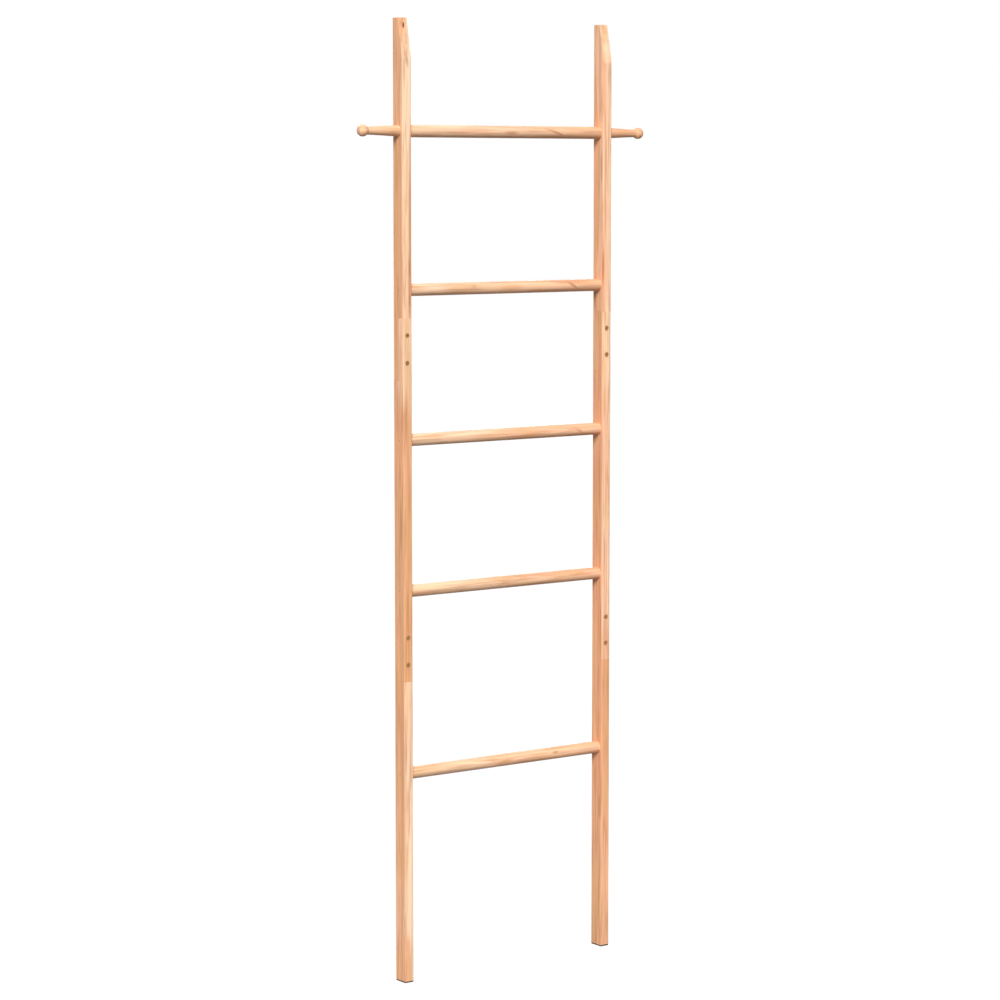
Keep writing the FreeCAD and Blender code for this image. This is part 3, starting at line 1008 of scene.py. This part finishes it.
@dataclass(frozen=True)
class Peg(Piece):
    """A turned peg: a tenon through the rail, a long taper, and a ball on a softened neck."""

    side: Side
    timber: Timber
    tenon_radius: float = 6.0 * MM
    tenon_ease: float = 0.6 * MM
    base_radius: float = 10.7 * MM
    base_ease: float = 0.4 * MM
    neck_radius: float = 7.7 * MM
    ball_radius: float = 11.2 * MM
    reach: float = 79.0 * MM
    taper_power: float = 1.3
    cove: float = 0.56 * MM
    first_ring: float = 2.0 * MM
    rings: int = 90
    segments: int = 72

    @property
    def node(self) -> str:
        """The CAD node that this peg stands for."""
        return f"peg_{self.side.word}"

    @property
    def shoulder(self) -> float:
        """X of the rail's outer face, where the peg's base stands."""
        return self.side.outer(f"rail_{self.side.word}_upper")

    def profile(self) -> tuple[np.ndarray, np.ndarray]:
        """The peg's outline from the tenon's end to the ball's tip.

        The taper falls from base to neck a little faster near the base. The ball is a circle. Where they
        meet, a smooth maximum of both radii, the logarithm of the sum of their exponentials, rounds the
        corner into a small cove.

        Returns:
            Distances from the rail's face, and the radii there.
        """
        inside = abs(self.shoulder) - min(abs(corner.x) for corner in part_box(self.node))
        tenon = [(-inside, 0.0), (-inside, self.tenon_radius - self.tenon_ease),
                 (-inside + self.tenon_ease, self.tenon_radius), (0.0, self.tenon_radius),
                 (0.0, self.base_radius - self.base_ease), (self.base_ease, self.base_radius)]
        stations = np.linspace(self.first_ring, self.reach + self.ball_radius, self.rings)
        neck_end = self.reach - math.sqrt(self.ball_radius ** 2 - self.neck_radius ** 2)
        share = np.clip(1.0 - stations / neck_end, 0.0, 1.0)
        taper = self.neck_radius + (self.base_radius - self.neck_radius) * share ** self.taper_power
        taper = np.where(stations < self.reach, taper, 0.0)
        ball = np.sqrt(np.maximum(0.0, self.ball_radius ** 2 - (stations - self.reach) ** 2))
        radii = self.cove * np.logaddexp(taper / self.cove, ball / self.cove)
        radii = np.where(stations < self.reach, np.minimum(radii, np.maximum(taper, ball) + self.cove), ball)
        ends, widths = np.array(tenon).T
        return np.concatenate([ends, stations]), np.concatenate([widths, radii])

    def build(self) -> None:
        """Make the peg."""
        skin = turned(*self.profile(), (self.shoulder, 0.0, self.middle(2)), (self.side.value, 0.0, 0.0),
                      self.segments)
        self.show(f"{self.side.word}_peg_turned", make_mesh(f"{self.node}_turned", [skin]),
                  self.timber.build(f"{self.node}_wood"), "rung_wood")


@dataclass(frozen=True)
class Splice(Piece):
    """The two countersunk screws of a half-lap splice, and their holes."""

    side: Side
    length: Length
    head_radius: float = 4.5 * MM
    head_edge: float = 0.12 * MM
    shank_radius: float = 2.25 * MM
    core_radius: float = 1.65 * MM
    waist: float = 0.98
    cone: float = 2.25 * MM
    plain: float = 3.0 * MM
    run_in: float = 0.4 * MM
    total: float = 28.0 * MM
    tip: float = 5.0 * MM
    blunt: float = 0.2 * MM
    gap: float = 0.1 * MM
    lead: float = 3.0 * MM
    pitch: float = 1.8 * MM
    ridge_slope: float = 4.0
    least_point: float = 0.03
    slot: float = 0.65 * MM
    arm: float = 2.4 * MM
    recess: float = 1.8 * MM
    recess_edge: float = 0.24 * MM
    recess_reach: float = 2.8 * MM
    recess_fall: float = 0.45
    least_fall: float = 0.3
    rim: Pair = (3.6 * MM, 4.3 * MM)
    face_rings: int = 17
    thread_rings: int = 90
    segments: int = 48
    # Size and colour of the painted shade ring round each screw head.
    bruise_radii: Triple = (5.2, 3.0, 5.6)
    bruise_tint: str = "B98A5A"

    @property
    def node(self) -> str:
        """The CAD node of the two screws."""
        return f"splice_screws_{self.side.word}_{self.length.value}"

    def heights(self) -> Pair:
        """The two screws' heights, from the CAD node's box."""
        low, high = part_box(self.node)
        return low.z + self.head_radius, high.z - self.head_radius

    def driven(self, stations: np.ndarray, radii: np.ndarray, height: float) -> Skin:
        """A turned skin that starts in the middle of a screw's head and runs into the wood."""
        start = (self.middle(0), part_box(self.node)[0].y, height)
        return turned(stations, radii, start, (0.0, 1.0, 0.0), self.segments)

    def hole(self, height: float) -> Skin:
        """The cutter for one screw: the head's cone, led out through the face, and the shank.

        Args:
            height: the screw's height.

        Returns:
            The cutter's skin.
        """
        head, shank = self.head_radius + self.gap, self.shank_radius + self.gap
        stations, radii = np.array([(-self.lead, 0.0), (-self.lead, head), (0.0, head), (self.cone, shank),
                                    (self.total - self.tip, shank), (self.total, 0.0)]).T
        return self.driven(stations, radii, height)

    def bruises(self) -> tuple[Mark, ...]:
        """Painted shade round each screw head: a darker ring in the wood that stands for the shade at the
        countersink's rim.

        Returns:
            A mark of painted shade round each head.
        """
        across, face = self.middle(0) / MM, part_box(self.node)[0].y / MM
        return tuple(Mark((across, face, height / MM), self.bruise_radii, self.bruise_tint, 0.55, soft=0.3)
                     for height in self.heights())

    def screw(self, height: float, turn: float) -> Skin:
        """One screw: head, cone, threaded shank and point.

        The head's face is a disc that drops by the recess depth inside a cross of two slots, less so
        towards the arms' ends. The thread is a ridge where the distance along the shank, less the turn
        round it, is a whole number of pitches.

        Args:
            height: the screw's height.
            turn: how far the cross is turned, in radians.

        Returns:
            The screw's skin.
        """
        angle = np.linspace(0.0, TURN, self.segments, endpoint=False)
        rho = np.concatenate([np.linspace(0.0, self.recess_reach, self.face_rings)[1:], self.rim])[:, None]
        across = np.abs(rho * np.cos(angle + turn))
        upright = np.abs(rho * np.sin(angle + turn))

        def inside(distance: np.ndarray) -> np.ndarray:
            """1 within an edge, 0 outside it, with a narrow slope between."""
            return np.clip(0.5 - distance / self.recess_edge, 0.0, 1.0)

        cross = np.maximum(inside(across - self.slot) * inside(upright - self.arm),
                           inside(upright - self.slot) * inside(across - self.arm))
        face = self.recess * cross * np.clip(1.0 - self.recess_fall * rho / self.arm, self.least_fall, 1.0)
        cone = np.array([(self.head_edge, self.head_radius), (self.cone, self.shank_radius),
                         (self.cone + self.plain, self.shank_radius * self.waist)])
        shank = np.linspace(self.cone + self.plain + self.run_in, self.total - self.blunt, self.thread_rings)
        shank = shank[:, None]
        point = np.clip((self.total - shank) / self.tip, self.least_point, 1.0)
        ridge = 1.0 - self.ridge_slope * np.abs((shank / self.pitch - angle / TURN) % 1.0 - 0.5)
        thread = self.core_radius + (self.shank_radius - self.core_radius) * np.clip(ridge, 0.0, 1.0)
        stations = np.concatenate([face, np.broadcast_to(cone[:, :1], (len(cone), self.segments)),
                                   np.broadcast_to(shank, thread.shape)])
        radii = np.concatenate([np.broadcast_to(rho, face.shape),
                                np.broadcast_to(cone[:, 1:], (len(cone), self.segments)), thread * point])
        return self.driven(stations, radii, height)

    def build(self, metal: bpy.types.Material) -> None:
        """Make both screws, each stopped at its own turn.

        Args:
            metal: their material.
        """
        seed = sum(place * ord(letter) for place, letter in enumerate(self.node, 1))
        random = np.random.default_rng(seed)
        skins = [self.screw(height, random.uniform(0.0, TURN / 4.0)) for height in self.heights()]
        self.show(f"{self.side.word}_splice_{self.length.value}_screws",
                  make_mesh(f"{self.node}_cut", skins), metal, "screw_bronze")


@dataclass(frozen=True)
class RungNails(Piece):
    """The flat-headed nails of one side, each through the rail into a rung's end."""

    side: Side
    head_radius: float = 1.8 * MM
    head_thickness: float = 0.8 * MM
    shank_radius: float = 1.0 * MM
    length: float = 40.0 * MM
    tip: float = 4.0 * MM
    blunt: float = 0.05 * MM
    sink: float = 0.4 * MM
    gap: float = 0.1 * MM
    dome: tuple[Pair, ...] = ((0.0, 0.3 * MM), (0.02 * MM, 0.9 * MM), (0.1 * MM, 1.5 * MM))
    dome_height: float = 0.25 * MM
    segments: int = 24

    @property
    def node(self) -> str:
        """The CAD node of this side's nails."""
        return f"rung_nails_{self.side.word}"

    def build(self, rungs: list[Rung], metal: bpy.types.Material) -> None:
        """Make the nails: a slightly domed head, a plain shank and a point.

        Args:
            rungs: all the rungs, of which those held by nails get one.
            metal: the nails' material.
        """
        stations, radii = np.array([
            *self.dome, (self.dome_height, self.head_radius), (self.head_thickness, self.head_radius),
            (self.head_thickness, self.shank_radius), (self.length - self.tip, self.shank_radius),
            (self.length, self.blunt)]).T
        outer, axis = self.side.outer(self.node), (-self.side.value, 0.0, 0.0)
        skins = [turned(stations, radii, (outer, 0.0, rung.height), axis, self.segments)
                 for rung in rungs if rung.fixing is Fixing.NAIL]
        self.show(f"{self.side.word}_rung_nails_driven", make_mesh(f"{self.node}_driven", skins), metal,
                  "nail_steel")


@dataclass(frozen=True)
class FootPad(Piece):
    """A thin rubber pad under a rail: a rounded rectangle with soft edges, carried up its thickness.

    Lifts are the heights of its rings in millimetres, and insets the shares of the ease that they are
    stepped in by.
    """

    side: Side
    corner: float = 2.0 * MM
    ease: float = 0.5 * MM
    lifts: tuple[float, ...] = (0.0, 0.12, 0.35, 1.0, 1.5, 2.15, 2.38, 2.5)
    insets: tuple[float, ...] = (1.0, 0.4, 0.0, 0.0, 0.0, 0.0, 0.4, 1.0)
    segments: int = 48

    @property
    def node(self) -> str:
        """The CAD node of the pad."""
        return f"foot_pad_{self.side.word}"

    def build(self, rubber: bpy.types.Material) -> None:
        """Make the pad: rectangles with quarter-circle corners, stepped in at top and bottom.

        Args:
            rubber: its material.
        """
        low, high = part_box(self.node)
        lift = np.array(self.lifts) * MM
        step_in = self.ease * np.array(self.insets)
        turn = np.linspace(0.0, TURN, self.segments + 1)[:-1]
        unit = np.stack([np.cos(turn), np.sin(turn)], axis=-1)
        reach = np.stack([(high.x - low.x) / 2.0 - step_in, (high.y - low.y) / 2.0 - step_in], axis=-1)
        flat = np.sign(np.round(unit, 9)) * (reach[:, None] - self.corner) + unit * self.corner
        flat += (self.middle(0), self.middle(1))
        upright = np.broadcast_to((low.z + lift)[:, None, None], (*flat.shape[:2], 1))
        mesh = make_mesh(f"{self.node}_moulded", [shell(np.concatenate([flat, upright], axis=-1))])
        self.show(f"{self.side.word}_foot_pad_moulded", mesh, rubber, "pad_rubber")


# ---- Studio -----------------------------------------------------------------------------------------------


@dataclass(frozen=True)
class Softbox:
    """A distant lamp with a wide soft disc.

    Azimuth is the compass turn from -Y towards -X, and height the angle above the floor, both in degrees.
    Light is what a white face square to the lamp gives back, as a share of white, and spread the disc's
    width in degrees.
    """

    name: str
    azimuth: float
    height: float
    light: float
    spread: float
    distance: float = 4.0

    def build(self) -> None:
        """Add the lamp, pointed at the ladder."""
        turn, rise = math.radians(self.azimuth), math.radians(self.height)
        way = Vector((-math.sin(turn) * math.cos(rise), -math.cos(turn) * math.cos(rise), math.sin(rise)))
        lamp = bpy.data.lights.new(self.name, "SUN")
        lamp.energy = self.light * math.pi
        lamp.angle = math.radians(self.spread)
        holder = bpy.data.objects.new(self.name, lamp)
        holder.rotation_euler = (-way).to_track_quat("-Z", "Y").to_euler()
        holder.location = way * self.distance
        bpy.context.scene.collection.objects.link(holder)


@dataclass(frozen=True)
class Studio:
    """Pale floor, soft light and the camera at the photograph's viewing angle."""

    lamps: tuple[Softbox, ...]
    sky: float
    floor_tint: str
    floor_glow: float
    floor_reach: float = 14.0
    floor_points: int = 96
    azimuth: float = 36.17
    pitch: float = 6.07
    lens: float = 109.76
    sensor: float = 36.0
    eye: Triple = (-3.5071, -4.7818, 1.5544)
    farthest: float = 100.0

    def seen_directly(self, recipe: Recipe) -> Field:
        """Where the light that falls on the object is told from what is looked at.

        Args:
            recipe: a recipe of the world or the floor.

        Returns:
            1 for what the camera, a reflection or a refraction sees, 0 for the light.
        """
        camera, glossy, through = (recipe.add("ShaderNodeLightPath", output=f"Is {name} Ray")
                                   for name in ("Camera", "Glossy", "Transmission"))
        return camera.larger(glossy).larger(through)

    def build_world(self) -> None:
        """An even soft sky, and plain white where it is seen."""
        world = bpy.data.worlds.new("studio")
        bpy.context.scene.world = world
        recipe = Recipe(world, "ShaderNodeOutputWorld")
        strength = self.sky + self.seen_directly(recipe) * (1.0 - self.sky)
        recipe.finish(recipe.add("ShaderNodeBackground", None, {"Color": WHITE, "Strength": strength}))

    def build_floor(self) -> None:
        """A wide floor, white where it is seen, that keeps a faint shadow of the ladder."""
        angle = np.linspace(0.0, TURN, self.floor_points, endpoint=False)
        rim = np.stack([np.cos(angle), np.sin(angle), np.zeros_like(angle)], axis=-1) * self.floor_reach
        mesh = bpy.data.meshes.new("floor")
        mesh.from_pydata(rim.tolist(), [], [tuple(range(len(rim)))])
        recipe = Recipe(bpy.data.materials.new("studio_floor"))
        dull = recipe.add("ShaderNodeBsdfDiffuse", None, {"Color": colour(self.floor_tint)})
        share = self.seen_directly(recipe) * self.floor_glow
        glow = recipe.add("ShaderNodeEmission", None, {"Color": share, "Strength": 1.0})
        lit = recipe.add("ShaderNodeAddShader", None, {"Shader": dull, "Shader_001": glow})
        mesh.materials.append(recipe.finish(lit))
        floor = bpy.data.objects.new("floor", mesh)
        bpy.context.scene.collection.objects.link(floor)

    def build_camera(self) -> None:
        """The camera, placed by the angle and the distance that the photograph shows."""
        view = bpy.data.cameras.new("camera")
        view.lens = self.lens
        view.sensor_width = self.sensor
        view.clip_end = self.farthest
        camera = bpy.data.objects.new("camera", view)
        camera.location = self.eye
        camera.rotation_euler = (math.radians(90.0 - self.pitch), 0.0, -math.radians(self.azimuth))
        bpy.context.scene.collection.objects.link(camera)
        bpy.context.scene.camera = camera

    def build(self) -> None:
        """Set up the whole studio."""
        self.build_world()
        self.build_floor()
        self.build_camera()
        for lamp in self.lamps:
            lamp.build()
        bpy.context.scene.view_settings.view_transform = "Standard"


# ---- This ladder ------------------------------------------------------------------------------------------

LEFT_PITH = (-290.0, 40.0, 0.0)
RIGHT_PITH = (190.0, 40.0, 0.0)
TOP_RIGHT_PITH = (170.0, 10.0, 0.0)
PEG_HEIGHT = 1638.5

RAIL_TIMBER = {
    (Side.LEFT, Length.LOWER): Timber(Fibre.UP, 1.0, LEFT_PITH, warmth=0.45, cream="FCD9B5", marks=(
        Mark((-250, 0, 210), (6, 22, 230), "F2BC96", 0.7, soft=0.5),
        Mark((-250, -11.5, 400), (4, 5.5, 230), "E0986C", 0.5),
        Mark((-238, -16, 520), (12, 6, 80), "F0C09A", 0.5, soft=0.6),
        Mark((-262, -16, -10), (27, 14, 125), "E8AC84", 0.9, soft=0.15))),
    (Side.LEFT, Length.MIDDLE): Timber(Fibre.UP, 2.0, LEFT_PITH, heart_radius=100.0, marks=(
        Mark((-250, -8, 1230), (7, 15, 110), "FBCBAC", 0.9, soft=0.4),
        Mark((-240, -16, 1240), (13, 8, 110), "FACDA5", 0.8, soft=0.5),
        Mark((-238, -16, 1240), (13, 4, 100), "F8CAA2", 0.62, soft=0.5),
        Mark((-238, -16, 650), (12, 6, 100), "E3A576", 0.5, soft=0.5),
        Mark((-243.9, -16, 1095), (1.6, 3, 45), "B5835A", 0.55),
        Mark((-250, -6.7, 895), (3, 2.6, 48), "B5835A", 0.6))),
    (Side.LEFT, Length.UPPER): Timber(Fibre.UP, 3.0, LEFT_PITH, warmth=0.35, marks=(
        Mark((-240, -16, 1700), (12, 8, 110), "FADCBA", 0.75, soft=0.6),
        Mark((-250, 0, 1760), (5, 20, 110), "F2BC98", 0.5, soft=0.6),
        Mark((-239.3, -4.5, 1836), (2.2, 5, 5.5), "7A3E28", 0.9, turn=6.0),
        Mark((-240.7, -16, 1776), (3.2, 5, 16), "C08460", 0.6, turn=-8.8, soft=0.6),
        Mark((-233.2, -16, 1470), (2.8, 5, 100), "D08A64", 0.8),
        Mark((-234.2, -16, 1345), (3.2, 5, 62), "CC8660", 0.75),
        Mark((-234.6, -16, 1381), (1.6, 4, 15), "B8734E", 0.7),
        Mark((-235.2, -16, 1320), (1.5, 4, 11), "B8734E", 0.65))),
    (Side.RIGHT, Length.LOWER): Timber(Fibre.UP, 4.0, RIGHT_PITH, heart_radius=100.0, marks=(
        Mark((238, -8, 120), (16, 26, 180), "EDB692", 0.5, soft=0.6),
        Mark((242, -16, 500), (12, 6, 130), "DFA27A", 0.5, soft=0.6),
        Mark((230, -10.5, 288), (3, 4.5, 24), "BE935F", 0.7))),
    (Side.RIGHT, Length.MIDDLE): Timber(Fibre.UP, 5.0, RIGHT_PITH, warmth=0.8, marks=(
        Mark((242, -16, 620), (12, 6, 45), "F0B58C", 0.7, soft=0.6),
        Mark((242, -16, 1240), (12, 6, 90), "FAD2A8", 0.65, soft=0.5),
        Mark((230, -11.8, 650), (3, 2.4, 62), "C58058", 0.65))),
    (Side.RIGHT, Length.UPPER): Timber(Fibre.UP, 6.0, TOP_RIGHT_PITH, heart_radius=62.0, warmth=0.7, marks=(
        Mark((230, 4, 1790), (5, 16, 90), "EFBD9C", 0.6, soft=0.6),
        Mark((242, -8, 1828), (12, 12, 36), "F9D6AE", 0.65, soft=0.5),
        Mark((230, 0, 1300), (6, 20, 60), "DDA277", 0.55, soft=0.5),
        Mark((240, -16, 1450), (8, 6, 130), "F8C8A2", 0.6, soft=0.6),
        Mark((230.2, -16, 1372), (2.2, 3, 36), "C87654", 0.85),
        Mark((230, -10, 1570), (3, 2.2, 30), "A98058", 0.6),
        Mark((230, 9.5, 1309), (4, 2.2, 21), "A5703F", 0.65))),
}


def rung_timber(seed: float, height: float, *marks: Mark) -> Timber:
    """Timber of a rung or peg, whose pith line leans, so that the rings run deeper towards the right.

    Args:
        seed: chooses the figure.
        height: the piece's axis above the floor, in millimetres.
        marks: its flames, knots and changes of tone.

    Returns:
        The timber.
    """
    return Timber(Fibre.ALONG_RUNG, seed, (0.0, 80.0, height - 12.0), (0.0, -30.0, 16.0), heart_radius=88.0,
                  heart_soft=10.0, cream="F5CDAA", rose="EFBD99", gold="E9AE86", clay="E4A57E", marks=marks)


RUNGS = [
    Rung("top", Fixing.PEG, rung_timber(
        11.0, PEG_HEIGHT,
        Mark((-190, -11, 1636), (50, 8, 8), "FAD2AE", 0.6, soft=0.8),
        Mark((-75, -11, 1640), (34, 6, 6), "F0B492", 0.6, turn=3.0, soft=0.7),
        Mark((8, -11.7, 1636.4), (15, 6, 3.6), "C98A5E", 0.65, soft=0.7),
        Mark((119, -11.2, 1637.4), (19, 5, 2.3), "BF7F59", 0.75, turn=17.9, soft=0.6),
        Mark((96, -10.5, 1644), (12, 5, 2), "C98D68", 0.45, turn=15.9, soft=0.7))),
    Rung("second", Fixing.NAIL, rung_timber(
        12.0, 1339.0,
        Mark((-81.3, -11.2, 1343.2), (5.5, 5, 5), "D6A374", 0.55, soft=0.7),
        Mark((10, -11.5, 1338), (20, 6, 6), "E0A478", 0.55, soft=0.8),
        Mark((158.2, -10.8, 1340.5), (13.5, 5, 2.5), "B67850", 0.75, turn=30.0, soft=0.6),
        Mark((150, -10, 1345.7), (10, 5, 2), "C08A64", 0.5, turn=18.9, soft=0.7))),
    Rung("third", Fixing.NAIL, rung_timber(
        13.0, 1053.0,
        Mark((-170, -11, 1052), (70, 8, 9), "FAD6B2", 0.6, soft=0.8),
        Mark((50, -11, 1056), (140, 8, 6.5), "E9A984", 0.6, turn=-2.0, soft=0.8),
        Mark((52, -11, 1048.5), (36, 6, 3.6), "D99A66", 0.6, turn=-4.0, soft=0.6),
        Mark((173, -11, 1053.4), (15, 5, 2.2), "CC8E6A", 0.5, turn=27.8, soft=0.7))),
    Rung("fourth", Fixing.NAIL, rung_timber(
        14.0, 762.5,
        Mark((-170, -11, 765), (70, 8, 9), "FBDCB5", 0.6, soft=0.8),
        Mark((32, -8, 771.5), (16, 5, 1.9), "CF9266", 0.55, turn=7.0, soft=0.6),
        Mark((30, -10, 766), (15, 5, 1.8), "CF9266", 0.5, turn=-6.0, soft=0.6),
        Mark((175.6, -11.2, 766.5), (15, 5, 2.4), "DB9A68", 0.6, turn=-8.0, soft=0.6))),
    Rung("bottom", Fixing.NAIL, rung_timber(
        15.0, 408.5,
        Mark((-120, -11, 412), (80, 8, 7), "FAD9B4", 0.5, soft=0.8),
        Mark((-9, -12, 407), (18, 5, 4.2), "DB9C66", 0.65, turn=-6.0, soft=0.6),
        Mark((117.4, -11.6, 411.8), (7, 4, 2.6), "BC8658", 0.6, soft=0.6))),
]

PEG_TIMBER = {
    Side.LEFT: rung_timber(
        21.0, PEG_HEIGHT, Mark((-295, 0, PEG_HEIGHT), (60, 16, 16), "EDB890", 0.6, soft=0.3)),
    Side.RIGHT: rung_timber(
        22.0, PEG_HEIGHT, Mark((295, 0, PEG_HEIGHT), (60, 16, 16), "F3BE96", 0.6, soft=0.3)),
}

STUDIO = Studio(lamps=(Softbox("key", 39.0, 36.0, 1.25, 30.0), Softbox("fill", 208.0, 12.0, 0.60, 40.0)),
                sky=0.28, floor_tint="666666", floor_glow=0.90)


def main() -> None:
    """Build every piece in order, and the studio."""
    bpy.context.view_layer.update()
    bronze = WornMetal("BE8A58", "85603E", 0.8, 0.42).build("screw_bronze")
    steel = WornMetal("CC9A74", "AA7A5A", 0.9, 0.5).build("nail_steel")
    rubber = PadRubber().build("pad_rubber")
    for side in Side:
        for length in Length:
            RailLength(side, length, RAIL_TIMBER[side, length]).build(RUNGS)
        for length in SPLICED:
            Splice(side, length).build(bronze)
        RungNails(side).build(RUNGS, steel)
        Peg(side, PEG_TIMBER[side]).build()
        FootPad(side).build(rubber)
    for rung in RUNGS:
        rung.build()
    STUDIO.build()


if __name__ == "__main__":
    main()
